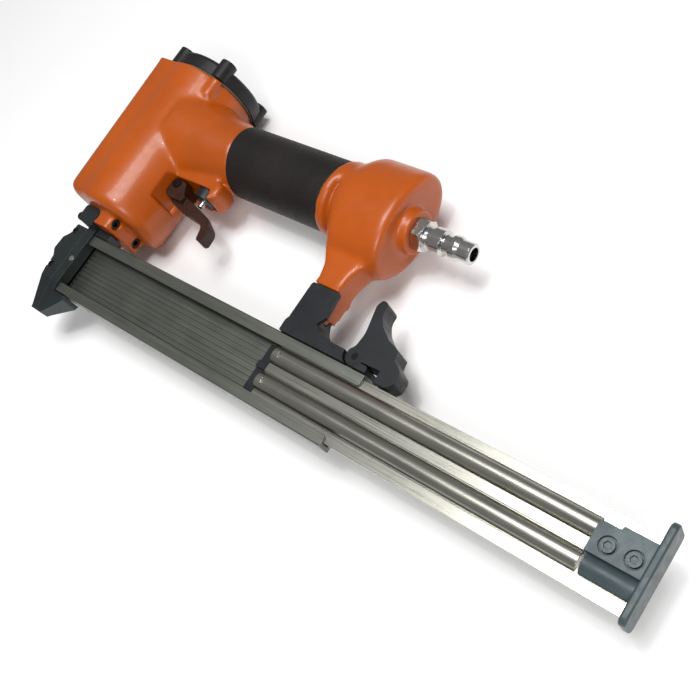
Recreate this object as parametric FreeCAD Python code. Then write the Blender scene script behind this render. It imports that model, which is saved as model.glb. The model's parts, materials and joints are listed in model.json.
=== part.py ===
import FreeCAD, Part
import math
import os

# Pneumatic brad and flooring nailer lying on its side, in millimetres.
# X runs along the magazine to the rear, Y along the drive axis up to the cap, Z out of the upper side.
# The origin is the middle of the nose tip, on the drive axis and in the tool's middle plane.

V = FreeCAD.Vector

# --- driving dimensions -------------------------------------------------------------------------
HEAD_CX = 6.0            # the head's casting is centred a little behind the drive axis
HEAD_R = 25.6
HEAD_FRONT = -18.2       # the front face slopes back to the chin
HEAD_CHIN = -14.8
HEAD_HALF_Z = 24.2
HEAD_BOTTOM = 60.0
HEAD_TOP = 147.0
GASKET = 0.6
CAP_HEIGHT = 8.0
CAP_CX = 8.0
CAP_R = 25.5
EAR_X = 16.0             # cap screws, from the cap's middle
EAR_Z = 17.0
EAR_R = 4.6
EAR_RISE = 2.6

CYL_OUT_R = 13.2         # leaves 1.2 mm or more of casting in front of the liner's seat
CYL_BORE_R = 10.8
CAP_WELL_R = 12.2        # room in the cap for the head valve's spring
CYL_Y0 = 70.0
CYL_Y1 = 137.0
PISTON_R = 10.75
PISTON_Y0 = 126.0
PISTON_Y1 = 136.0
BLADE_HALF_X = 0.8
BLADE_HALF_Z = 2.6
BLADE_Y0 = 48.0

HANDLE_Y = 118.5
HANDLE_CORE_R = 14.6
AIR_R = 10.0
GRIP_R = 17.8
GRIP_LOW = (61.8, 122.3)   # ends of the grip's sleeve on its underside
GRIP_HIGH = (56.8, 126.7)  # and on top
COLLAR_WIDTH = 4.2
COLLAR_X1 = 130.0
TAIL_X0 = 137.0
TAIL_X1 = 165.2
TAIL_Y = 117.0
TAIL_HALF_Y = 27.4
TAIL_HALF_Z = 18.5
BOSS_X1 = 170.0
PLUG_Y = 116.4
PLUG_TIP_X = 199.5

PIVOT_X = 33.0           # trigger pin
PIVOT_Y = 91.5
VALVE_X = 50.0
VALVE_Y0 = 89.5
VALVE_R = 6.0
TRIGGER_HALF_Z = 3.4
HUB_Z = 6.4              # the trigger's hub is thicker on the near side

MAG_X0 = 5.0             # fixed magazine channel
MAG_X1 = 190.5
MAG_Y0 = 13.2
MAG_Y1 = 48.2
MAG_WALL = 1.8
MAG_BACK = -2.9
MAG_FLOOR = -0.9
LIP_TOP = 5.6
LIP_UNDER = 4.2
LIP_LOW = 18.3
LIP_HIGH = 42.5

SLIDE_X0 = 145.5         # drawer, drawn fully back
SLIDE_X1 = 324.0
SLIDE_Y0 = 15.4
SLIDE_Y1 = 46.0
SLIDE_FACE = 3.9
TUBE_Y = (24.9, 38.0)
TUBE_Z = 3.2
TUBE_R = 4.2
TUBE_BORE = 3.0
FLANGE_T = 3.0

BRACKET_HALF_Z = 7.0
TONGUE_HALF_Z = 3.0
CHEEK_Z = 4.8
LATCH_HUB_R = 4.5
SCREW_X = 148.2          # screw through bracket and leg
SCREW_Y = 69.4
LATCH_X = 181.0
LATCH_Y = 53.0


# --- helpers ------------------------------------------------------------------------------------
def box(x0, x1, y0, y1, z0, z1):
    return Part.makeBox(x1 - x0, y1 - y0, z1 - z0, V(x0, y0, z0))


def rod_x(r, x0, x1, y, z):
    return Part.makeCylinder(r, x1 - x0, V(x0, y, z), V(1, 0, 0))


def rod_y(r, y0, y1, x, z):
    return Part.makeCylinder(r, y1 - y0, V(x, y0, z), V(0, 1, 0))


def rod_z(r, z0, z1, x, y):
    return Part.makeCylinder(r, z1 - z0, V(x, y, z0), V(0, 0, 1))


def flat(corners):
    """Closed wire in the XY plane through (x, y, radius) corners, each one rounded by an arc."""
    arcs = []
    count = len(corners)
    for i, (x, y, radius) in enumerate(corners):
        here = V(x, y, 0)
        back = V(corners[i - 1][0], corners[i - 1][1], 0) - here
        ahead = V(corners[(i + 1) % count][0], corners[(i + 1) % count][1], 0) - here
        back.normalize()
        ahead.normalize()
        half = back.getAngle(ahead) / 2
        if radius == 0:
            arcs.append((here, here, here))
            continue
        cut = radius / math.tan(half)
        middle = back + ahead
        middle.normalize()
        near = here + middle * (radius / math.sin(half) - radius)
        arcs.append((here + back * cut, near, here + ahead * cut))
    edges = []
    for i, (start, near, end) in enumerate(arcs):
        if start.distanceToPoint(end) > 1e-6:
            edges.append(Part.Arc(start, near, end).toShape())
        following = arcs[(i + 1) % count][0]
        if end.distanceToPoint(following) > 1e-6:
            edges.append(Part.LineSegment(end, following).toShape())
    return Part.Wire(edges)


def plate_z(corners, z0, z1):
    """An (x, y, radius) outline, from z0 up to z1."""
    solid = Part.Face(flat(corners)).extrude(V(0, 0, z1 - z0))
    solid.translate(V(0, 0, z0))
    return solid


def plate_x(corners, x0, x1):
    """A (y, z, radius) outline, from x0 back to x1."""
    solid = Part.Face(flat(corners)).extrude(V(0, 0, x1 - x0))
    solid.Placement = FreeCAD.Placement(V(x0, 0, 0), FreeCAD.Rotation(V(1, 1, 1), 120))
    return solid


def plate_y(corners, y0, y1):
    """A (z, x, radius) outline, from y0 up to y1."""
    solid = Part.Face(flat(corners)).extrude(V(0, 0, y1 - y0))
    solid.Placement = FreeCAD.Placement(V(0, y0, 0), FreeCAD.Rotation(V(1, 1, 1), 240))
    return solid


def rectangle(a0, a1, b0, b1, radius):
    return [(a0, b0, radius), (a1, b0, radius), (a1, b1, radius), (a0, b1, radius)]


def turned(profile, origin, axis):
    """A solid of revolution of (distance along, radius) corners about an axis."""
    points = [V(radius, 0, along) for along, radius in profile]
    wire = Part.makePolygon(points + points[:1])
    solid = Part.Face(wire).revolve(V(0, 0, 0), V(0, 0, 1), 360)
    solid.Placement = FreeCAD.Placement(origin, FreeCAD.Rotation(V(0, 0, 1), axis))
    return solid


def ring(major, minor, origin, axis):
    return Part.makeTorus(major, minor, origin, axis)


def spring(radius, wire, turns, length, origin, axis):
    """A coil spring of round wire bent in ten straight steps a turn; radius is to the wire's middle."""
    count = int(round(turns * 10))
    points = []
    for k in range(count + 1):
        angle = math.radians(36 * k)
        along = wire + (length - 2 * wire) * k / count
        points.append(V(radius * math.cos(angle), radius * math.sin(angle), along))
    start = Part.Wire([Part.Circle(points[0], points[1] - points[0], wire).toShape()])
    coil = Part.makePolygon(points).makePipeShell([start], True, False, 1)
    coil.Placement = FreeCAD.Placement(origin, FreeCAD.Rotation(V(0, 0, 1), axis))
    return coil


def socket_screw(origin, axis, head_r, head_h, shank_r, shank_l):
    """A socket-head screw; origin is the underside of the head and axis points out of the head."""
    back = V(-axis.x, -axis.y, -axis.z)
    head = Part.makeCylinder(head_r, head_h, origin, axis)
    shank = Part.makeCylinder(shank_r, shank_l, origin, back)
    corners = [V(0.55 * head_r, 0, 0)]
    for k in range(1, 7):
        angle = math.radians(60 * k)
        corners.append(V(0.55 * head_r * math.cos(angle), 0.55 * head_r * math.sin(angle), 0))
    key = Part.Face(Part.makePolygon(corners)).extrude(V(0, 0, head_h))
    key.translate(V(0, 0, 0.45 * head_h))
    key.Placement = FreeCAD.Placement(origin, FreeCAD.Rotation(V(0, 0, 1), axis)).multiply(key.Placement)
    return head.fuse(shank).cut(key).removeSplitter()


def save(name, *solids):
    shape = solids[0] if len(solids) == 1 else Part.makeCompound(list(solids))
    shape.exportStep(os.path.join("parts", name + ".step"))


# --- head and handle ----------------------------------------------------------------------------
def head_front():
    """Squared front of the head, between a rounded outline at its foot and a deeper one at its top."""
    def outline(front, y):
        wire = flat([(-HEAD_HALF_Z, front, 5.0), (HEAD_HALF_Z, front, 5.0), (HEAD_HALF_Z, HEAD_CX, 0),
                     (-HEAD_HALF_Z, HEAD_CX, 0)])
        wire.Placement = FreeCAD.Placement(V(0, y, 0), FreeCAD.Rotation(V(1, 1, 1), 240))
        return wire
    return Part.makeLoft([outline(HEAD_CHIN, HEAD_BOTTOM), outline(HEAD_FRONT, HEAD_TOP)], True, True)


def head_block():
    """The head's casting: a round back with a squared front, rounded where it meets the neck."""
    back = rod_y(HEAD_R, HEAD_BOTTOM, HEAD_TOP, HEAD_CX, 0)
    back = back.makeFillet(5.0, [e for e in back.Edges if abs(e.BoundBox.YMax - HEAD_BOTTOM) < 0.01])
    back = back.common(box(-2.3, 40, HEAD_BOTTOM - 1, HEAD_TOP + 1, -30, 30))    # as wide here as the front
    lugs = [rod_y(3.4, HEAD_TOP - 11, HEAD_TOP, x, z) for x, z in cap_screw_places() if x > HEAD_CX]
    chin = plate_z([(HEAD_CHIN - 1, HEAD_BOTTOM - 1, 12.0), (40, HEAD_BOTTOM - 1, 0),
                    (40, HEAD_TOP + 1, 0), (HEAD_FRONT - 2, HEAD_TOP + 1, 0)], -30.0, 30.0)
    keel = plate_x([(HEAD_BOTTOM, -HEAD_HALF_Z, 6.0), (HEAD_TOP + 1, -HEAD_HALF_Z, 0),
                    (HEAD_TOP + 1, HEAD_HALF_Z, 0), (HEAD_BOTTOM, HEAD_HALF_Z, 6.0)], -30.0, 20.0)
    return head_front().common(chin).common(keel).fuse([back] + lugs)


def cap_screw_places():
    return [(CAP_CX + sx * EAR_X, sz * EAR_Z) for sx in (-1, 1) for sz in (-1, 1)]


def housing():
    """One casting: head, neck, handle core, tail and the leg down to the magazine."""
    neck = plate_y(rectangle(-13.9, 13.9, 5.9, 18.0, 3.0), 52.5, HEAD_BOTTOM + 6)
    shoulder = Part.makeCone(25.0, HANDLE_CORE_R + 2.4, 39.0, V(18, HANDLE_Y, 0), V(1, 0, 0))
    core = rod_x(HANDLE_CORE_R, 10, TAIL_X0, HANDLE_Y, 0)
    core = core.fuse(rod_x(HANDLE_CORE_R + 2.4, 50, 64, HANDLE_Y, 0))
    valve_boss = plate_z([(25, 90, 2), (38, 89.6, 3), (57.6, 89.6, 4), (61.6, 93.6, 3), (60.6, 100.2, 1),
                          (56.9, 100.2, 0), (56.9, 112, 0), (25, 116, 0)], -7.6, 7.6)
    collar = rod_x(GRIP_R + 1.0, 110, 140, HANDLE_Y, 0).common(
        plate_z([(GRIP_LOW[1], 98, 0), (GRIP_LOW[1] + COLLAR_WIDTH, 98, 0),
                 (GRIP_HIGH[1] + COLLAR_WIDTH, 139, 0), (GRIP_HIGH[1], 139, 0)], -25, 25))
    body = head_block().fuse([neck, shoulder, core, valve_boss, collar, tail(), leg()])
    room = grip_room(GRIP_R + 0.4, 0.1).cut(rod_x(HANDLE_CORE_R, 40, 140, HANDLE_Y, 0))
    return body.cut(Part.makeCompound(housing_hollows() + [room])).removeSplitter()


def grip_room(radius, slack):
    """A rod along the handle between the slanting ends of the grip's sleeve."""
    reach = 2 * GRIP_R       # the ends are planes, drawn past the sleeve on both sides
    front = (GRIP_HIGH[0] - GRIP_LOW[0]) / 2
    rear = (GRIP_HIGH[1] - GRIP_LOW[1]) / 2
    corners = []
    for side in (-1, 1):
        x0 = (GRIP_LOW[0] + GRIP_HIGH[0]) / 2 + 2 * side * front - slack
        x1 = (GRIP_LOW[1] + GRIP_HIGH[1]) / 2 + 2 * side * rear + slack
        corners += [(x0, HANDLE_Y + side * reach, 0), (x1, HANDLE_Y + side * reach, 0)]
    ends = plate_z([corners[0], corners[1], corners[3], corners[2]], -25, 25)
    return rod_x(radius, 40, 140, HANDLE_Y, 0).common(ends)


def tail():
    """Oval end of the handle that takes the air plug."""
    def oval(x, half_y, half_z, y=TAIL_Y):
        wire = Part.Wire([Part.Ellipse(V(0, 0, 0), half_y, half_z).toShape()])
        wire.Placement = FreeCAD.Placement(V(x, y, 0), FreeCAD.Rotation(V(1, 1, 1), 120))
        return wire
    start = oval(COLLAR_X1, GRIP_R, GRIP_R - 0.4, HANDLE_Y)
    full = oval(TAIL_X0, TAIL_HALF_Y, TAIL_HALF_Z)
    last = oval(TAIL_X1 - 2, TAIL_HALF_Y, TAIL_HALF_Z)
    edge = oval(TAIL_X1, TAIL_HALF_Y - 2, TAIL_HALF_Z - 2)
    flare = Part.makeLoft([start, full], True)
    drum = Part.makeLoft([full, last], True)
    rim = Part.makeLoft([last, edge], True)
    boss = Part.makeCone(12.0, 10.0, BOSS_X1 - TAIL_X1 + 4, V(TAIL_X1 - 4, PLUG_Y, 0), V(1, 0, 0))
    return flare.fuse([drum, rim, boss])


def leg():
    """Strut from the tail to the magazine bracket: a block, a rear strap and a thin tongue for the screw."""
    block = plate_z([(128, 108, 0), (131, 98.5, 6), (140.4, 84.5, 6), (142.6, 74.8, 0.5), (154.0, 74.8, 0),
                     (154.0, 63.2, 0), (155.0, 63.2, 0.6), (157.2, 84, 6), (161, 93, 4), (162, 108, 0)],
                    -7.2, 7.2)
    near_room = box(150.0, 162.0, 60.0, 74.8, CHEEK_Z - 0.1, 8.0)
    tongue = box(144.5, 154.2, 61.0, 78.0, -TONGUE_HALF_Z, TONGUE_HALF_Z)
    return block.cut(near_room).fuse(tongue)


def housing_hollows():
    hollows = [
        rod_y(CYL_OUT_R + 0.3, 66.0, HEAD_TOP, 0, 0),
        box(8.0, 25.0, 84.0, HEAD_TOP - 4, -10.0, 10.0),
        rod_y(5.0, HEAD_BOTTOM - 1, 66.0, 0, 0),
        rod_x(AIR_R, 20.0, TAIL_X1 - 12, HANDLE_Y, 0),
        rod_x(5.4, TAIL_X1 - 14, BOSS_X1, PLUG_Y, 0),
        rod_y(VALVE_R + 0.05, VALVE_Y0 - 1, HANDLE_Y - 4, VALVE_X, 0),
        plate_z([(28.3, 78, 0), (56.6, 78, 0), (56.6, 95.2, 2.5), (44, 95.2, 3), (28.3, 94.8, 2.5)],
                -5.2, 14.0),
        rod_z(1.5, -12.0, -5.0, PIVOT_X, PIVOT_Y),
        rod_z(2.0, -TONGUE_HALF_Z, TONGUE_HALF_Z, SCREW_X, SCREW_Y),
    ]
    hollows += [rod_y(1.7, HEAD_TOP - 6, HEAD_TOP, x, z) for x, z in cap_screw_places()]
    for z in (-9.0, 9.0):
        hollows.append(rod_x(1.7, 5.0, 18.0, 57.3, z))
        hollows.append(rod_x(2.9, 14.0, 19.0, 57.3, z))
    return hollows


def cylinder_cap():
    y0 = HEAD_TOP + GASKET
    cover = rod_y(CAP_R, y0, y0 + CAP_HEIGHT, CAP_CX, 0)
    rims = [e for e in cover.Edges if abs(e.BoundBox.YMin - y0 - CAP_HEIGHT) < 0.01]
    cover = cover.makeFillet(2.5, rims)
    ears = [rod_y(EAR_R, y0, y0 + CAP_HEIGHT + EAR_RISE, x, z) for x, z in cap_screw_places()]
    cover = cover.fuse(ears).cut(rod_y(CAP_WELL_R, y0 - 1, y0 + 5.0, 0, 0))
    holes = [rod_y(1.7, y0 - 1, y0 + 20, x, z) for x, z in cap_screw_places()]
    sinks = [rod_y(2.9, y0 + CAP_HEIGHT - 1.4, y0 + 20, x, z) for x, z in cap_screw_places()]
    return cover.cut(holes + sinks).removeSplitter()


def cap_gasket():
    seal = rod_y(CAP_R - 0.8, HEAD_TOP, HEAD_TOP + GASKET, CAP_CX, 0).cut(
        rod_y(CYL_OUT_R + 0.3, HEAD_TOP - 1, HEAD_TOP + 2, 0, 0))
    return seal.cut([rod_y(1.7, HEAD_TOP - 1, HEAD_TOP + 2, x, z) for x, z in cap_screw_places()])


def cap_screws():
    seat = HEAD_TOP + GASKET + CAP_HEIGHT - 1.4
    return [socket_screw(V(x, seat, z), V(0, 1, 0), 2.6, 3.2, 1.6, 11.0) for x, z in cap_screw_places()]


def cylinder():
    sleeve = rod_y(CYL_OUT_R, CYL_Y0, CYL_Y1, 0, 0).cut(rod_y(CYL_BORE_R, CYL_Y0 - 1, CYL_Y1 + 1, 0, 0))
    inside = rod_y(CYL_OUT_R - 1.45, CYL_Y0 - 1, CYL_Y1 + 1, 0, 0)
    grooves = [rod_y(CYL_OUT_R + 1, y - 0.95, y + 0.95, 0, 0).cut(inside) for y in (CYL_Y0 + 6, CYL_Y1 - 8)]
    ports = [rod_x(1.6, -20, 20, CYL_Y0 + 14, z) for z in (-5.0, 5.0)]
    return sleeve.cut(grooves + ports)


def cylinder_seals():
    return [ring(CYL_OUT_R - 0.55, 0.85, V(0, y, 0), V(0, 1, 0)) for y in (CYL_Y0 + 6, CYL_Y1 - 8)]


def bumper():
    return turned([(66.0, 4.0), (66.0, CYL_OUT_R - 0.6), (69.8, CYL_OUT_R - 0.6), (69.8, CYL_BORE_R - 0.4),
                   (76.0, CYL_BORE_R - 1.2), (78.0, CYL_BORE_R - 3.0), (78.0, 4.0)],
                  V(0, 0, 0), V(0, 1, 0))


def piston():
    groove = PISTON_Y1 - 4.8
    crown = turned([(PISTON_Y0, 0), (PISTON_Y0, 8.5), (PISTON_Y0 + 2, PISTON_R), (groove - 1.1, PISTON_R),
                    (groove - 1.1, PISTON_R - 1.75), (groove + 1.1, PISTON_R - 1.75),
                    (groove + 1.1, PISTON_R),
                    (PISTON_Y1, PISTON_R), (PISTON_Y1, 7.5), (PISTON_Y1 - 3, 6.0), (PISTON_Y1 - 3, 0)],
                   V(0, 0, 0), V(0, 1, 0))
    slot = box(-BLADE_HALF_X, BLADE_HALF_X, PISTON_Y0 - 1, PISTON_Y0 + 5, -BLADE_HALF_Z, BLADE_HALF_Z)
    return crown.cut(slot)


def driver_blade():
    return box(-BLADE_HALF_X, BLADE_HALF_X, BLADE_Y0, PISTON_Y0 + 5, -BLADE_HALF_Z, BLADE_HALF_Z)


def head_valve():
    flange = CYL_OUT_R + 0.2
    neck = CAP_WELL_R - 3.0
    return turned([(138.0, 7.0), (138.0, flange), (141.5, flange), (141.5, neck), (147.0, neck),
                   (147.0, 7.0)], V(0, 0, 0), V(0, 1, 0))


# --- trigger and air inlet ----------------------------------------------------------------------
def trigger():
    outline = [(29.2, 94.2, 2.6), (28.8, 85.2, 3), (36.0, 81.4, 12), (45.0, 80.0, 12), (54.0, 79.0, 10),
               (61.6, 77.2, 4), (63.6, 69.6, 1.8), (67.8, 69.2, 2.0), (67.4, 77.6, 6), (57.0, 83.6, 12),
               (48.0, 85.9, 10), (42.0, 87.0, 3), (38.2, 93.6, 3)]
    lever = plate_z(outline, -TRIGGER_HALF_Z, TRIGGER_HALF_Z)
    hub = plate_z(outline, TRIGGER_HALF_Z - 0.1, HUB_Z).common(box(20, 42.4, 83.6, 96, 0, 10))
    return lever.fuse(hub).cut(rod_z(1.55, -5, 10, PIVOT_X, PIVOT_Y)).removeSplitter()


def trigger_pin():
    shaft = rod_z(1.48, -8.4, HUB_Z + 0.4, PIVOT_X, PIVOT_Y)
    return shaft.fuse(rod_z(2.4, HUB_Z + 0.15, HUB_Z + 1.0, PIVOT_X, PIVOT_Y))


def valve_sleeve():
    y0 = VALVE_Y0 + 0.5
    return turned([(y0, 1.55), (y0, VALVE_R), (108.0, VALVE_R), (108.0, 1.7), (107.0, 1.7), (107.0, 3.2),
                   (y0 + 2, 3.2), (y0 + 2, 1.55)], V(VALVE_X, 0, 0), V(0, 1, 0))


def valve_stem():
    return turned([(86.3, 0), (86.3, 1.1), (86.7, 1.5), (96.0, 1.5), (96.0, 3.1), (99.0, 3.1), (99.0, 1.5),
                   (106.4, 1.5), (106.4, 0)], V(VALVE_X, 0, 0), V(0, 1, 0))


def air_plug():
    """Quick-connect plug: pipe thread, hexagon, locking collar and a bored nose."""
    x0 = BOSS_X1
    body = turned([(x0 - 12, 3.2), (x0 - 12, 5.3), (x0 + 0.2, 5.3), (x0 + 0.2, 4.9), (x0 + 6.0, 4.9),
                   (x0 + 6.6, 4.6), (x0 + 8.8, 4.6), (x0 + 9.4, 6.0), (x0 + 14.6, 6.0), (x0 + 15.2, 4.3),
                   (x0 + 18.4, 4.3), (x0 + 19.4, 5.6), (x0 + 21.8, 5.6), (PLUG_TIP_X - 6, 4.85),
                   (PLUG_TIP_X - 0.6, 4.85), (PLUG_TIP_X, 4.3), (PLUG_TIP_X, 3.2)],
                  V(0, PLUG_Y, 0), V(1, 0, 0))
    corners = [(PLUG_Y + 8.08 * math.cos(math.radians(60 * k)), 8.08 * math.sin(math.radians(60 * k)), 0)
               for k in range(6)]
    chamfers = turned([(x0 - 1, 0), (x0 - 1, 6.6), (x0 + 1.6, 8.2), (x0 + 4.2, 8.2), (x0 + 6, 6.4),
                       (x0 + 6, 0)], V(0, PLUG_Y, 0), V(1, 0, 0))
    hexagon = plate_x(corners, x0 + 0.2, x0 + 5.6).common(chamfers).cut(rod_x(3.2, 150, 200, PLUG_Y, 0))
    return body.fuse(hexagon).removeSplitter()


def grip_sleeve():
    sleeve = grip_room(GRIP_R, 0.0)
    sleeve = sleeve.makeFillet(1.4, [e for e in sleeve.Edges if e.Length > 90])
    return sleeve.cut(rod_x(HANDLE_CORE_R + 0.1, 40, 140, HANDLE_Y, 0))


# --- nose ---------------------------------------------------------------------------------------
def snout_trim():
    """Wedges that thin the nose towards its tip on both sides."""
    wedge = [(-1, 3.0, 0), (1.5, 3.0, 0), (17.0, 7.0, 0), (17.0, 12.0, 0), (-1, 12.0, 0)]
    far = [(y, -z, 0) for y, z, radius in reversed(wedge)]
    return [plate_x(wedge, -20.0, 20.0), plate_x(far, -20.0, 20.0)]


def nose_body():
    spine = plate_z([(-0.9, 0, 0), (2.6, 0, 0.8), (14.0, 10.6, 1), (14.0, 12.9, 0), (4.8, 12.9, 0),
                     (4.8, 60.0, 0), (-0.9, 60.0, 0)], -7.0, 7.0)
    flange = plate_z([(-5.6, 50.5, 2), (5.7, 50.5, 0), (5.7, 60.0, 0), (-5.6, 60.0, 2)], -12.6, 12.6)
    tab = box(4.0, 15.0, MAG_Y1 + 0.2, 52.0, -2.5, 5.0)
    body = spine.fuse([flange, tab]).cut(snout_trim())
    passages = [box(-1.0, 0.9, -1, 61, -2.7, 2.7),
                box(0.5, 5.0, MAG_Y0 + MAG_WALL, MAG_Y1 - MAG_WALL, MAG_FLOOR, 0.9)]
    holes = [rod_x(1.35, -2.0, 6.0, 57.3, z) for z in (-9.0, 9.0)]
    holes += [rod_x(1.35, -0.9, 4.0, y, z) for y in (24.0, 45.5) for z in (-4.8, 4.8)]
    holes += [rod_x(1.35, -11.0, 0.5, 53.2, z) for z in (-9.6, 9.6)]
    holes += [screw_solid(*place) for place in magazine_screw_places()[3:]]
    holes.append(rod_z(1.5, 3.0, 7.5, 2.9, 31.5))
    return body.cut(passages + holes).removeSplitter()


def nose_plate():
    """Front cover that closes the drive channel, with a lug half way up."""
    outline = [(-1.0, 0, 0), (-1.0, 49.2, 0), (-9.4, 49.2, 1), (-10.0, 43.0, 2), (-13.0, 39.6, 1.5),
               (-13.4, 32.0, 2), (-10.4, 28.4, 2), (-10.0, 21.0, 4), (-5.2, 0, 0.8)]
    cover = plate_z(outline, -7.0, 7.0).cut(snout_trim())
    holes = [rod_x(1.55, -12.0, 0.0, y, z) for y in (24.0, 45.5) for z in (-4.8, 4.8)]
    sinks = [rod_x(2.7, -14.0, -7.0, y, z) for y in (24.0, 45.5) for z in (-4.8, 4.8)]
    return cover.cut(holes + sinks).removeSplitter()


def nose_screws():
    return [socket_screw(V(-7.0, y, z), V(-1, 0, 0), 2.5, 2.6, 1.3, 10.2) for y in (24.0, 45.5)
            for z in (-4.8, 4.8)]


def flange_screws():
    """Two screws from behind the neck into the nose, and the heads of the two that hold its front corner."""
    rear = [socket_screw(V(14.1, 57.3, z), V(1, 0, 0), 2.7, 2.6, 1.3, 15.0) for z in (-9.0, 9.0)]
    front = [socket_screw(V(-5.6, 53.2, z), V(-1, 0, 0), 2.2, 2.4, 1.3, 6.0) for z in (-9.6, 9.6)]
    return rear, front


def guide_pin():
    return rod_z(1.5, 3.0, 7.4, 2.9, 31.5)


# --- magazine -----------------------------------------------------------------------------------
def magazine_channel():
    """Fixed half: a lipped channel, open on its near side, with fine ribs along its floor."""
    outer = plate_x(rectangle(MAG_Y0, MAG_Y1, MAG_BACK, LIP_TOP, 0.8), MAG_X0, MAG_X1)
    inner = box(MAG_X0 - 1, MAG_X1 + 1, MAG_Y0 + MAG_WALL, MAG_Y1 - MAG_WALL, MAG_FLOOR, LIP_UNDER)
    mouth = box(MAG_X0 - 1, MAG_X1 + 1, LIP_LOW, LIP_HIGH, MAG_FLOOR, LIP_TOP + 1)
    grooves = [box(MAG_X0 - 1, MAG_X1 + 1, 18.4 + 2.6 * k, 19.5 + 2.6 * k, MAG_FLOOR - 0.5, MAG_FLOOR + 0.1)
               for k in range(9)]
    seats = [screw_solid(*place) for place in magazine_screw_places()]
    channel = outer.cut([inner, mouth] + grooves + seats)
    ends = [e.BoundBox for e in channel.Edges]
    corner = [e for e, b in zip(channel.Edges, ends) if b.XMin > MAG_X1 - 0.01 and b.ZLength > 1.0
              and b.YLength < 0.01 and b.ZMin > LIP_UNDER - 0.01 and 17 < b.YMin < 44]
    return channel.makeFillet(1.2, corner).removeSplitter()


def magazine_screw_places():
    """(x, wall height, side) of the countersunk screws; side 1 goes up and -1 down."""
    rear = [(146.0, MAG_Y1, 1), (158.0, MAG_Y1, 1), (168.5, MAG_Y1, 1)]
    return rear + [(10.5, MAG_Y1, 1), (10.5, MAG_Y0, -1)]


def screw_solid(x, wall, side):
    start = wall - side * 1.7
    length = 3.2 if wall == MAG_Y1 and x < 20 else 5.0
    head = Part.makeCone(2.4, 1.2, 1.3, V(x, start, 1.3), V(0, side, 0))
    shank = Part.makeCylinder(1.2, length, V(x, start, 1.3), V(0, side, 0))
    return head.fuse(shank)


def magazine_slide():
    """Drawer half: a C-shaped sheet with two round spring tubes along its near face."""
    sheet = box(SLIDE_X0, SLIDE_X1, SLIDE_Y0, SLIDE_Y1, 2.3, SLIDE_FACE)
    legs = [box(SLIDE_X0, SLIDE_X1, SLIDE_Y0, SLIDE_Y0 + 1.6, -0.5, SLIDE_FACE),
            box(SLIDE_X0, SLIDE_X1, SLIDE_Y1 - 1.6, SLIDE_Y1, -0.5, SLIDE_FACE)]
    web = box(SLIDE_X0, SLIDE_X1 - 21, TUBE_Y[0] + 4.6, TUBE_Y[1] - 4.4, 2.3, SLIDE_FACE + 0.9)
    tubes = [rod_x(TUBE_R, SLIDE_X0, SLIDE_X1 - 21, y, TUBE_Z) for y in TUBE_Y]
    body = sheet.fuse(legs + [web] + tubes)
    cuts = [rod_x(TUBE_BORE, SLIDE_X0 - 1, SLIDE_X1 - 20.9, y, TUBE_Z) for y in TUBE_Y]
    cuts.append(box(SLIDE_X0 - 1, SLIDE_X1 + 1, SLIDE_Y0 + 1.6, SLIDE_Y1 - 1.6, -2.0, 1.0))
    cuts.append(box(SLIDE_X0 - 1, SLIDE_X1 + 1, 20.0, 20.4, SLIDE_FACE - 0.4, SLIDE_FACE + 1))
    cuts += [rod_z(0.8, 4.0, 9.0, SLIDE_X0 + 2.8, y) for y in TUBE_Y]
    cuts += [rod_z(1.25, 0.0, 5.0, x, 33.6) for x in (309.6, 319.4)]
    return body.cut(cuts).removeSplitter()


def tube_pins():
    """Square-headed pins through the front of each tube, which stop the pusher."""
    x = SLIDE_X0 + 2.8
    heads = [box(x - 1.2, x + 1.2, y - 1.2, y + 1.2, 7.4, 8.2) for y in TUBE_Y]
    return [head.fuse(rod_z(0.78, 4.6, 7.5, x, y)) for head, y in zip(heads, TUBE_Y)]


def guide_rods():
    return [rod_x(0.9, SLIDE_X0 + 1.5, 302.0, y, TUBE_Z) for y in TUBE_Y]


def pusher_springs():
    return [spring(1.75, 0.35, 24, 144.4, V(157.0, y, TUBE_Z), V(1, 0, 0)) for y in TUBE_Y]


def pusher():
    """Nail pusher: a thin plate under the drawer with a keyed eye round each guide rod."""
    plate = plate_z(rectangle(137.6, 156.6, 18.9, 41.9, 0.8), -0.6, 0.75)
    rib = box(137.6, 156.6, 30.0, 33.2, 0.0, 2.0)
    keys = [box(151.6, 156.6, y - 1.0, y + 1.0, 0.5, TUBE_Z) for y in TUBE_Y]
    eyes = [rod_x(2.7, 151.6, 156.6, y, TUBE_Z) for y in TUBE_Y]
    bores = [rod_x(0.98, 150, 158, y, TUBE_Z) for y in TUBE_Y]
    return plate.fuse([rib] + keys + eyes).cut(bores).removeSplitter()


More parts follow.
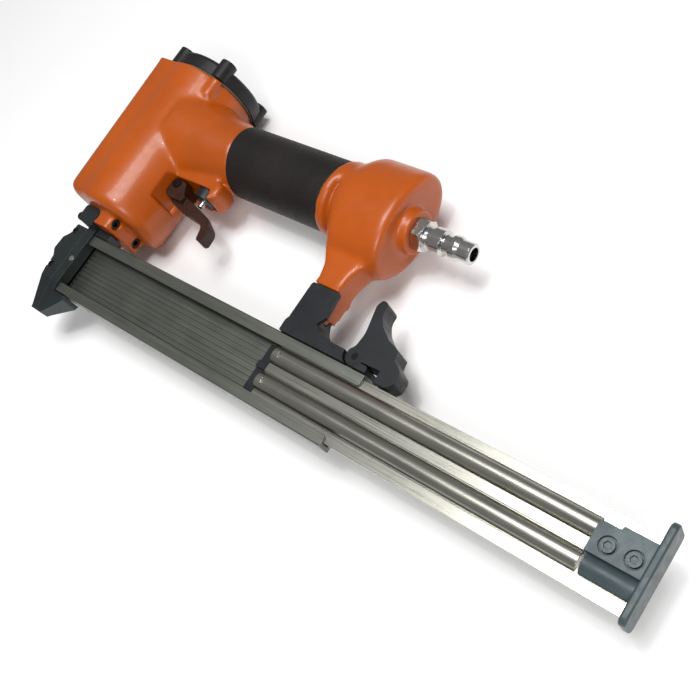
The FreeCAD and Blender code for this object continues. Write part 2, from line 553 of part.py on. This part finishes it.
def end_cap():
    """Moulded cap over the drawer's rear end, with the flange that the latch catches."""
    x0 = SLIDE_X1 - 20.8
    cover = plate_z([(x0, 27.0, 0.8), (x0 + 1.5, 27.0, 0), (x0 + 1.5, 20.8, 0.6), (SLIDE_X1, 20.8, 0),
                     (SLIDE_X1, 42.1, 0), (x0 + 8, 42.1, 0.8), (x0 + 8, 40.6, 0.6), (x0, 40.6, 0.8)],
                    SLIDE_FACE, 8.6)
    ridge_room = box(x0 - 1, SLIDE_X1, 19.0, 28.6, 6.0, 10.0)
    ridge = rod_x(4.2, x0 + 1.5, SLIDE_X1, TUBE_Y[0], 4.6)
    above = box(x0, SLIDE_X1, 15, 45, SLIDE_FACE, 12.0)
    flange = plate_x(rectangle(12.8, 51.6, -5.4, 9.4, 3.0), SLIDE_X1, SLIDE_X1 + FLANGE_T)
    rims = [e for e in flange.Edges if e.BoundBox.XLength < 0.01]
    flange = flange.makeFillet(0.9, rims)
    cap = cover.cut(ridge_room).fuse([ridge.common(above), flange])
    sinks = [rod_z(3.4, 7.6, 10.0, x, 33.6) for x in (309.6, 319.4)]
    holes = [rod_z(1.6, 3.0, 9.0, x, 33.6) for x in (309.6, 319.4)]
    return cap.cut(sinks + holes).removeSplitter()


def end_cap_screws():
    return [socket_screw(V(x, 33.6, 7.6), V(0, 0, 1), 2.7, 1.5, 1.25, 5.0) for x in (309.6, 319.4)]


# --- tail bracket and latch ---------------------------------------------------------------------
def bracket():
    """Black moulding between the leg and the channel; its two cheeks hold the leg's tongue."""
    y0 = MAG_Y1 + 0.05
    base = plate_z([(141.0, y0, 0), (140.8, 53.4, 3), (142.8, 57.8, 3), (141.7, 62.0, 3), (141.8, 74.2, 1.5),
                    (153.6, 74.2, 0.5), (153.6, 62.6, 1), (156.2, 58.0, 3), (161.6, 54.4, 4),
                    (170.0, 53.5, 3), (176.5, 53.5, 0), (176.5, 51.1, 0), (190.3, 51.1, 1.0),
                    (190.3, y0, 0)], -BRACKET_HALF_Z, BRACKET_HALF_Z)
    cheek = plate_z([(141.7, 56.0, 0), (141.8, 74.4, 1.5), (157.6, 74.4, 0.8), (158.8, 62.0, 1.0),
                     (155.0, 56.0, 0)], CHEEK_Z, BRACKET_HALF_Z)
    base = base.cut(rod_z(LATCH_HUB_R + 0.5, -8, 8, LATCH_X, LATCH_Y))
    ear = rod_z(LATCH_HUB_R - 0.1, -2.4, 2.4, LATCH_X, LATCH_Y).fuse(
        box(170.0, LATCH_X + 4.2, y0, LATCH_Y, -2.4, 2.4))
    fork = box(143.9, 154.6, 60.4, 77.0, -TONGUE_HALF_Z - 0.15, TONGUE_HALF_Z + 0.15)
    screw_room = [rod_z(2.1, -8, 6.2, SCREW_X, SCREW_Y), rod_z(3.6, -8, -4.9, SCREW_X, SCREW_Y)]
    latch_room = [rod_z(1.5, -8, 8, LATCH_X, LATCH_Y), rod_z(3.2, 0.4, 3, LATCH_X, LATCH_Y)]
    seats = [screw_solid(*place) for place in magazine_screw_places()[:3]]
    return base.fuse([cheek, ear]).cut([fork] + screw_room + latch_room + seats).removeSplitter()


def bracket_screw():
    return socket_screw(V(SCREW_X, SCREW_Y, -4.9), V(0, 0, -1), 3.2, 1.9, 1.95, 10.9)


def latch_lever():
    """Forked squeeze lever: a finger horn above the pin and a hook behind it for the drawer's flange."""
    outline = [(177.2, 51.6, 0), (176.7, 54.6, 1.0), (178.6, 57.4, 3), (179.2, 63.6, 12),
               (176.3, 76.9, 2.5), (177.6, 80.4, 1.7), (181.2, 79.8, 2.1), (181.0, 74.6, 8),
               (184.8, 69.6, 10), (191.0, 65.4, 6), (197.6, 63.2, 1.2), (198.4, 58.8, 1.5),
               (203.8, 55.6, 3), (204.0, 50.0, 2.6), (201.2, 46.7, 2.0), (195.4, 46.7, 1.0),
               (195.4, 52.3, 0.8)]
    lever = plate_z(outline, -5.4, 5.4).fuse(rod_z(LATCH_HUB_R, -5.4, 5.4, LATCH_X, LATCH_Y))
    slot = rod_z(6.8, -2.7, 2.7, LATCH_X, LATCH_Y)
    return lever.cut([slot, rod_z(1.55, -6, 6, LATCH_X, LATCH_Y)]).removeSplitter()


def latch_pin():
    return rod_z(1.48, -5.4, 5.4, LATCH_X, LATCH_Y)


def latch_spring():
    return spring(2.5, 0.35, 2, 2.1, V(LATCH_X, LATCH_Y, 0.5), V(0, 0, 1))


# --- build --------------------------------------------------------------------------------------
os.makedirs("parts", exist_ok=True)
rear_screws, front_screws = flange_screws()
save("housing", housing())
save("cylinder_cap", cylinder_cap())
save("cap_gasket", cap_gasket())
save("cap_screws", *cap_screws())
save("cylinder", cylinder())
save("cylinder_seals", *cylinder_seals())
save("bumper", bumper())
save("piston", piston())
save("piston_ring", ring(PISTON_R - 0.85, 0.85, V(0, PISTON_Y1 - 4.8, 0), V(0, 1, 0)))
save("driver_blade", driver_blade())
save("head_valve", head_valve())
save("head_valve_spring", spring(CAP_WELL_R - 1.5, 0.6, 4, 10.0, V(0, 142.0, 0), V(0, 1, 0)))
save("trigger", trigger())
save("trigger_pin", trigger_pin())
save("valve_sleeve", valve_sleeve())
save("valve_stem", valve_stem())
save("valve_spring", spring(2.4, 0.3, 5, 7.6, V(VALVE_X, 99.2, 0), V(0, 1, 0)))
save("grip_sleeve", grip_sleeve())
save("air_plug", air_plug())
save("nose_body", nose_body())
save("nose_plate", nose_plate())
save("nose_screws", *nose_screws())
save("neck_screws", *rear_screws)
save("flange_screws", *front_screws)
save("guide_pin", guide_pin())
save("magazine_channel", magazine_channel())
save("magazine_screws", *[screw_solid(*place) for place in magazine_screw_places()])
save("magazine_slide", magazine_slide())
save("tube_pins", *tube_pins())
save("guide_rods", *guide_rods())
save("pusher", pusher())
save("pusher_springs", *pusher_springs())
save("end_cap", end_cap())
save("end_cap_screws", *end_cap_screws())
save("bracket", bracket())
save("bracket_screw", bracket_screw())
save("latch_lever", latch_lever())
save("latch_pin", latch_pin())
save("latch_spring", latch_spring())
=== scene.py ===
import json

import bpy
import numpy as np
from mathutils import Matrix, Vector


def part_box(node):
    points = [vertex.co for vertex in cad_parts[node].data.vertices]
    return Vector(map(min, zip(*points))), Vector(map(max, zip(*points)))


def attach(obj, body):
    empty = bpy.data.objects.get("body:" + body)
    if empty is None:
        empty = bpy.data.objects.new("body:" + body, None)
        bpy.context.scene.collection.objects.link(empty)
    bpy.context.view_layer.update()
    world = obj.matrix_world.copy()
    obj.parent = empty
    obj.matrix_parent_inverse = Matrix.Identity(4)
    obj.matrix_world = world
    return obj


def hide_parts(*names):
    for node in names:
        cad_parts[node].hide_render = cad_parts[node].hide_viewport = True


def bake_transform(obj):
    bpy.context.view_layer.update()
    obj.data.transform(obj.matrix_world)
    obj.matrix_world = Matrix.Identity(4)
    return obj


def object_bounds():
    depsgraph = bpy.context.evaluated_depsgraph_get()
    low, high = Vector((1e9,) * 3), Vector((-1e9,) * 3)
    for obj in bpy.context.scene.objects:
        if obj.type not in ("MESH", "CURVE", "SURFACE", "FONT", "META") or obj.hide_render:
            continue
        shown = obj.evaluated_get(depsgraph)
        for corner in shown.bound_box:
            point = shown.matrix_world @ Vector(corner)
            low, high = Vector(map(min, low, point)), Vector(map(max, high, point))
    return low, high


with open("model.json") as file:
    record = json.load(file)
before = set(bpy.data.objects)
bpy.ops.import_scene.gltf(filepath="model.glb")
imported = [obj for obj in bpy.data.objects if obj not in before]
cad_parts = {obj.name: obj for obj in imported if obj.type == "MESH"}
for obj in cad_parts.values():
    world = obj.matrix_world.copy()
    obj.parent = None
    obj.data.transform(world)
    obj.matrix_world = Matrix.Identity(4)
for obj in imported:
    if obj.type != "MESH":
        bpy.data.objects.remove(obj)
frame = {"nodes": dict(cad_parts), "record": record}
CAD_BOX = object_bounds()
NODES = frame["nodes"]


# --- materials ----------------------------------------------------------------------------------
class Graph:
    """A procedural material on one Principled shader, in the frame's own metres."""

    def __init__(self, name, color, rough, metallic=0.0):
        self.material = bpy.data.materials.new(name)
        self.material.use_nodes = True
        self.tree = self.material.node_tree
        self.shader = self.tree.nodes["Principled BSDF"]
        self.shader.inputs["Base Color"].default_value = (*color, 1)
        self.shader.inputs["Roughness"].default_value = rough
        self.shader.inputs["Metallic"].default_value = metallic
        self.place = self.tree.nodes.new("ShaderNodeTexCoord").outputs["Object"]
        self.height = None

    def link(self, a, b):
        self.tree.links.new(a, b)

    def node(self, kind, **values):
        made = self.tree.nodes.new(kind)
        for key, value in values.items():
            setattr(made, key, value)
        return made

    def stretched(self, scale):
        mapping = self.node("ShaderNodeMapping")
        mapping.inputs["Scale"].default_value = scale
        self.link(self.place, mapping.inputs["Vector"])
        return mapping.outputs["Vector"]

    def noise(self, scale, detail=2.0, rough=0.5, stretch=(1, 1, 1)):
        noise = self.node("ShaderNodeTexNoise")
        noise.inputs["Scale"].default_value = scale
        noise.inputs["Detail"].default_value = detail
        noise.inputs["Roughness"].default_value = rough
        self.link(self.stretched(stretch), noise.inputs["Vector"])
        return noise.outputs["Fac"]

    def ramp(self, value, low, high, start=0.0, end=1.0):
        ramp = self.node("ShaderNodeMapRange")
        ramp.clamp = True
        ramp.inputs["From Min"].default_value = low
        ramp.inputs["From Max"].default_value = high
        ramp.inputs["To Min"].default_value = start
        ramp.inputs["To Max"].default_value = end
        self.link(value, ramp.inputs["Value"])
        return ramp.outputs["Result"]

    def mix(self, factor, a, b):
        mix = self.node("ShaderNodeMix", data_type="RGBA")
        self.link(factor, mix.inputs["Factor"])
        for socket, value in ((mix.inputs[6], a), (mix.inputs[7], b)):
            if isinstance(value, tuple):
                socket.default_value = (*value, 1)
            else:
                self.link(value, socket)
        return mix.outputs[2]

    def color(self, output):
        self.link(output, self.shader.inputs["Base Color"])

    def rough(self, output):
        self.link(output, self.shader.inputs["Roughness"])

    def rounded(self, radius):
        """Lets sharp edges catch the light as if they had that radius, in metres."""
        bevel = self.node("ShaderNodeBevel")
        bevel.samples = 4
        bevel.inputs["Radius"].default_value = radius
        self.height = bevel.outputs["Normal"]
        self.link(self.height, self.shader.inputs["Normal"])

    def worn(self, amount):
        """1 along rubbed edges, broken up by noise, and 0 elsewhere."""
        bevel = self.node("ShaderNodeBevel")
        bevel.samples = 4
        bevel.inputs["Radius"].default_value = 0.0007
        flat = self.node("ShaderNodeNewGeometry")
        spread = self.node("ShaderNodeVectorMath", operation="DOT_PRODUCT")
        self.link(bevel.outputs["Normal"], spread.inputs[0])
        self.link(flat.outputs["Normal"], spread.inputs[1])
        edge = self.ramp(spread.outputs["Value"], 0.985, 0.86)
        both = self.node("ShaderNodeMath", operation="MULTIPLY")
        self.link(edge, both.inputs[0])
        self.link(self.ramp(self.noise(320, 4, 0.7), 0.4, 0.62, 0.0, amount), both.inputs[1])
        return both.outputs["Value"]

    def bump(self, output, depth):
        """Adds a relief of that depth, in metres, on top of any relief before it."""
        bump = self.node("ShaderNodeBump")
        bump.inputs["Strength"].default_value = 1.0
        bump.inputs["Distance"].default_value = depth
        self.link(output, bump.inputs["Height"])
        if self.height:
            self.link(self.height, bump.inputs["Normal"])
        self.height = bump.outputs["Normal"]
        self.link(self.height, self.shader.inputs["Normal"])


def paint(name, color, dusty):
    """Glossy enamel with a little orange peel, and a thin bloom of dust in noise-driven patches."""
    g = Graph(name, color, 0.3)
    g.shader.inputs["Specular IOR Level"].default_value = 0.38
    g.shader.inputs["Coat Weight"].default_value = 0.22
    g.shader.inputs["Coat Roughness"].default_value = 0.12
    deep = tuple(0.84 * c for c in color)
    blotches = g.mix(g.ramp(g.noise(28, 3), 0.38, 0.66), color, deep)
    g.color(g.mix(g.ramp(g.noise(90, 6, 0.65), 0.58, 0.85, 0.0, 0.25), blotches, dusty))
    g.rough(g.ramp(g.noise(180, 5, 0.6), 0.35, 0.7, 0.32, 0.46))
    g.bump(g.noise(420, 2), 0.00003)
    g.bump(g.noise(60, 1), 0.00012)
    return g.material


def moulding(name, color, rough, edge, grain=2400, depth=0.00006):
    """Moulded plastic or black-finished casting: fine grain, uneven sheen and rubbed edges."""
    g = Graph(name, color, rough)
    g.shader.inputs["Specular IOR Level"].default_value = 0.34
    pale = tuple(1.5 * c + 0.002 for c in color)
    cloudy = g.mix(g.ramp(g.noise(70, 5, 0.6), 0.42, 0.72), color, pale)
    g.color(g.mix(g.worn(edge), cloudy, tuple(2.4 * c + 0.02 for c in color)))
    g.rough(g.ramp(g.noise(260, 4), 0.3, 0.7, rough - 0.08, rough + 0.1))
    g.rounded(0.0004)
    g.bump(g.noise(grain, 3, 0.7), depth)
    return g.material


def metal(name, color, rough, stretch=(1, 1, 1), scale=1400, depth=0.000012):
    """Bare or coloured metal, brushed along the direction in which stretch is small."""
    g = Graph(name, color, rough, 1.0)
    dull = tuple(0.84 * c for c in color)
    g.color(g.mix(g.ramp(g.noise(55, 5, 0.6), 0.4, 0.72), color, dull))
    lines = g.noise(scale, 4, 0.65, stretch)
    g.rough(g.ramp(lines, 0.3, 0.7, rough - 0.06, rough + 0.08))
    g.rounded(0.00025)
    g.bump(lines, depth)
    return g.material


def grip_rubber():
    """Dark rubber sleeve with a shallow woven grain."""
    g = Graph("grip_rubber", (0.0095, 0.0075, 0.007), 0.62)
    g.shader.inputs["Specular IOR Level"].default_value = 0.26
    fibres = g.noise(1500, 3, 0.6, (0.35, 1, 1))
    g.color(g.mix(g.ramp(g.noise(45, 5, 0.6), 0.4, 0.72), (0.0095, 0.0075, 0.007), (0.016, 0.013, 0.012)))
    g.rough(g.ramp(fibres, 0.3, 0.7, 0.5, 0.72))
    g.rounded(0.0006)
    g.bump(fibres, 0.00016)
    g.bump(g.noise(700, 2), 0.0001)
    return g.material


BRUSHED_X = (0.02, 1, 1)
SLOTS = {
    "orange_paint": paint("orange_paint", (0.43, 0.077, 0.002), (0.38, 0.095, 0.01)),
    "black_casting": moulding("black_casting", (0.0075, 0.0065, 0.0065), 0.42, 0.2),
    "black_moulding": moulding("black_moulding", (0.0085, 0.0095, 0.012), 0.46, 0.25),
    "grip_rubber": grip_rubber(),
    "gunmetal": metal("gunmetal", (0.07, 0.084, 0.084), 0.48),
    "blackened_screw": metal("blackened_screw", (0.035, 0.033, 0.033), 0.34),
    "bright_steel": metal("bright_steel", (0.62, 0.61, 0.59), 0.25),
    "chrome": metal("chrome", (0.6, 0.59, 0.57), 0.18),
    "channel_aluminium": metal("channel_aluminium", (0.235, 0.245, 0.215), 0.38, BRUSHED_X),
    "drawer_aluminium": metal("drawer_aluminium", (0.43, 0.425, 0.375), 0.29, BRUSHED_X),
    "slate_moulding": moulding("slate_moulding", (0.042, 0.06, 0.066), 0.38, 0.25),
    "trigger_brown": moulding("trigger_brown", (0.026, 0.0085, 0.004), 0.38, 0.25),
    "seal_rubber": moulding("seal_rubber", (0.018, 0.018, 0.018), 0.6, 0.1),
    "bumper_urethane": moulding("bumper_urethane", (0.3, 0.18, 0.06), 0.5, 0.1),
    "gasket_fibre": moulding("gasket_fibre", (0.1, 0.095, 0.085), 0.8, 0.1),
}

slot_of = {part["node"]: part["material_slot"] for part in frame["record"]["subparts"]}
for name, node in NODES.items():
    material = SLOTS[slot_of[name]]
    for slot in node.material_slots:
        slot.material = material
    if not node.material_slots:
        node.data.materials.append(material)


# --- the casting's soft blends ------------------------------------------------------------------
MM = 0.001
VOXEL = 0.65 * MM
SOFTENING = 34

# the housing's machined features, in millimetres in the frame's axes
HANDLE_Y = 118.5
AIR_WAY_R = 11.5
LINER_SEAT_R = 14.2
GRIP_SEAT_R = 15.5
GRIP_FRONT = (59.3, -0.14)      # where the sleeve's end crosses the handle's axis, and its slant
GRIP_REAR = (124.5, 0.124)
VALVE_X = 50
VALVE_SEAT_R = 7.2
TRIGGER_PIN = (33, 91.5)
POCKET = (42.4, 84)             # middle of the trigger's pocket, and half its size
POCKET_HALF = (14.6, 11.6)
POCKET_BACK = 5.6
NECK_SCREWS = ((57.3, -9), (57.3, 9))
CAP_FACE_Y = 146.5
PLUG_FACE_X = 169.5
NECK_FOOT_Y = 53.5
LEG_FOOT = (134, 75.2)
FAR = 8.0                       # further than any blend reaches
BLEND = 2.0                     # how far from a feature the softening is held back


def keep_crisp(p):
    """0 where a vertex belongs to a bore, a machined face or the inside, 1 on the cast skin."""
    x, y, z = (p / MM).T
    away = np.full(len(p), FAR)
    front = GRIP_FRONT[0] + (y - HANDLE_Y) * GRIP_FRONT[1]
    rear = GRIP_REAR[0] + (y - HANDLE_Y) * GRIP_REAR[1]
    from_handle = np.hypot(y - HANDLE_Y, z)
    pocket_x = abs(x - POCKET[0]) - POCKET_HALF[0]
    pocket_y = abs(y - POCKET[1]) - POCKET_HALF[1]

    def outside(distance, where=True):
        np.minimum(away, np.where(where, distance, FAR), out=away)

    outside(np.hypot(x, z) - LINER_SEAT_R, y > 64)
    outside(0, (x < 26) & (abs(z) < 12.5) & (y > 83) & (y < 144))
    outside(from_handle - AIR_WAY_R, x < 170)
    outside(np.hypot(x - VALVE_X, z) - VALVE_SEAT_R, (y > 86) & (y < 116))
    outside(np.maximum(np.maximum(-z - POCKET_BACK, pocket_x), pocket_y), z < 14)
    outside(np.hypot(x - TRIGGER_PIN[0], y - TRIGGER_PIN[1]) - 2.2)
    for screw_y, screw_z in NECK_SCREWS:
        outside(np.hypot(y - screw_y, z - screw_z) - 3.4, x > 10)
    outside(CAP_FACE_Y - y)
    outside(np.maximum(y - LEG_FOOT[1], LEG_FOOT[0] - x), x < 160)
    outside(PLUG_FACE_X - x, x > 100)
    outside(y - NECK_FOOT_Y, x < 110)
    outside(from_handle - GRIP_SEAT_R, (x > front - 1) & (x < rear + 1))
    outside(x - rear - 0.4, (x > rear - 3) & (x < rear + 12))
    return np.clip(away / BLEND, 0, 1)


def soften(mesh, weight, rounds):
    """Evens out a dense mesh where weight allows, which melts its creases into fillets."""
    count = len(mesh.vertices)
    place = np.empty(count * 3)
    mesh.vertices.foreach_get("co", place)
    place = place.reshape(-1, 3)
    ends = np.empty(len(mesh.edges) * 2, dtype=np.int64)
    mesh.edges.foreach_get("vertices", ends)
    a, b = ends.reshape(-1, 2).T
    near = np.bincount(a, minlength=count) + np.bincount(b, minlength=count)
    pull = weight(place)[:, None]
    for _ in range(rounds):
        total = np.empty_like(place)
        for axis in range(3):
            total[:, axis] = np.bincount(a, place[b, axis], count) + np.bincount(b, place[a, axis], count)
        place += 0.6 * pull * (total / near[:, None] - place)
    mesh.vertices.foreach_set("co", place.ravel())
    mesh.update()


def cast_housing():
    source = NODES["housing"]
    skin = bpy.data.objects.new("housing_cast", source.data.copy())
    bpy.context.collection.objects.link(skin)
    skin.matrix_world = source.matrix_world
    remesh = skin.modifiers.new("voxels", "REMESH")
    remesh.mode = "VOXEL"
    remesh.voxel_size = VOXEL
    graph = bpy.context.evaluated_depsgraph_get()
    dense = bpy.data.meshes.new_from_object(skin.evaluated_get(graph))
    skin.modifiers.clear()
    skin.data = dense
    soften(dense, keep_crisp, SOFTENING)
    dense.shade_smooth()
    dense.materials.clear()
    dense.materials.append(SLOTS["orange_paint"])
    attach(skin, "tool")
    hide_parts("housing")


cast_housing()


# --- springs, copied in place of their CAD parts ------------------------------------------------
def pressed_spring(node, axis):
    """Copies a spring part into a coil object with its transform baked in, and hides the part; the coil's
    ends along that axis are found but not used.
    """
    source = NODES[node]
    coil = bpy.data.objects.new(node + "_coil", source.data.copy())
    bpy.context.collection.objects.link(coil)
    coil.matrix_world = source.matrix_world
    low, high = (Vector(corner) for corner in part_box(node))
    near = (low + high) / 2
    far = near.copy()
    near[axis] = low[axis]
    far[axis] = high[axis]
    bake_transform(coil)
    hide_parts(node)


X_AXIS, Y_AXIS = 0, 1
pressed_spring("pusher_springs", X_AXIS)
pressed_spring("head_valve_spring", Y_AXIS)
pressed_spring("valve_spring", Y_AXIS)


# --- floor, light and camera --------------------------------------------------------------------
def floor():
    low = CAD_BOX[0][2]
    bpy.ops.mesh.primitive_plane_add(size=6, location=(0.15, 0.08, low - 0.0002))
    plane = bpy.context.object
    plane.name = "floor"
    g = Graph("floor", (0.95, 0.95, 0.95), 0.7)
    g.color(g.mix(g.ramp(g.noise(3, 2), 0.3, 0.7), (0.96, 0.96, 0.96), (0.94, 0.94, 0.94)))
    plane.data.materials.append(g.material)


def lamp(name, place, aim, size, power):
    data = bpy.data.lights.new(name, "AREA")
    data.shape = "RECTANGLE"
    data.size, data.size_y = size
    data.energy = power
    lamp_object = bpy.data.objects.new(name, data)
    bpy.context.collection.objects.link(lamp_object)
    lamp_object.location = place
    lamp_object.rotation_euler = (Vector(aim) - Vector(place)).to_track_quat("-Z", "Y").to_euler()


def camera():
    data = bpy.data.cameras.new("camera")
    data.sensor_width = 36
    data.lens = 48.4
    data.clip_start = 0.01
    seen = bpy.data.objects.new("camera", data)
    right = Vector((0.745, 0.544, -0.385))
    up = Vector((-0.374, 0.82, 0.433))
    back = right.cross(up)
    turn = Matrix((right, up, back)).transposed()
    seen.matrix_world = Matrix.Translation((0.39435, -0.01582, 0.32609)) @ turn.to_4x4()
    bpy.context.collection.objects.link(seen)
    bpy.context.scene.camera = seen


floor()
CENTRE = (0.15, 0.08, 0.0)
lamp("overhead", (0.2, 0.17, 0.95), CENTRE, (0.5, 0.5), 7.5)
lamp("front", (0.78, -0.5, 0.8), CENTRE, (0.45, 0.45), 5.5)
lamp("spark", (0.25, 0.05, 0.85), CENTRE, (0.03, 0.03), 0.7)
world = bpy.data.worlds.new("studio")
world.use_nodes = True
world.node_tree.nodes["Background"].inputs["Color"].default_value = (1, 1, 1, 1)
world.node_tree.nodes["Background"].inputs["Strength"].default_value = 0.25
bpy.context.scene.world = world
bpy.context.scene.view_settings.view_transform = "Standard"
camera()
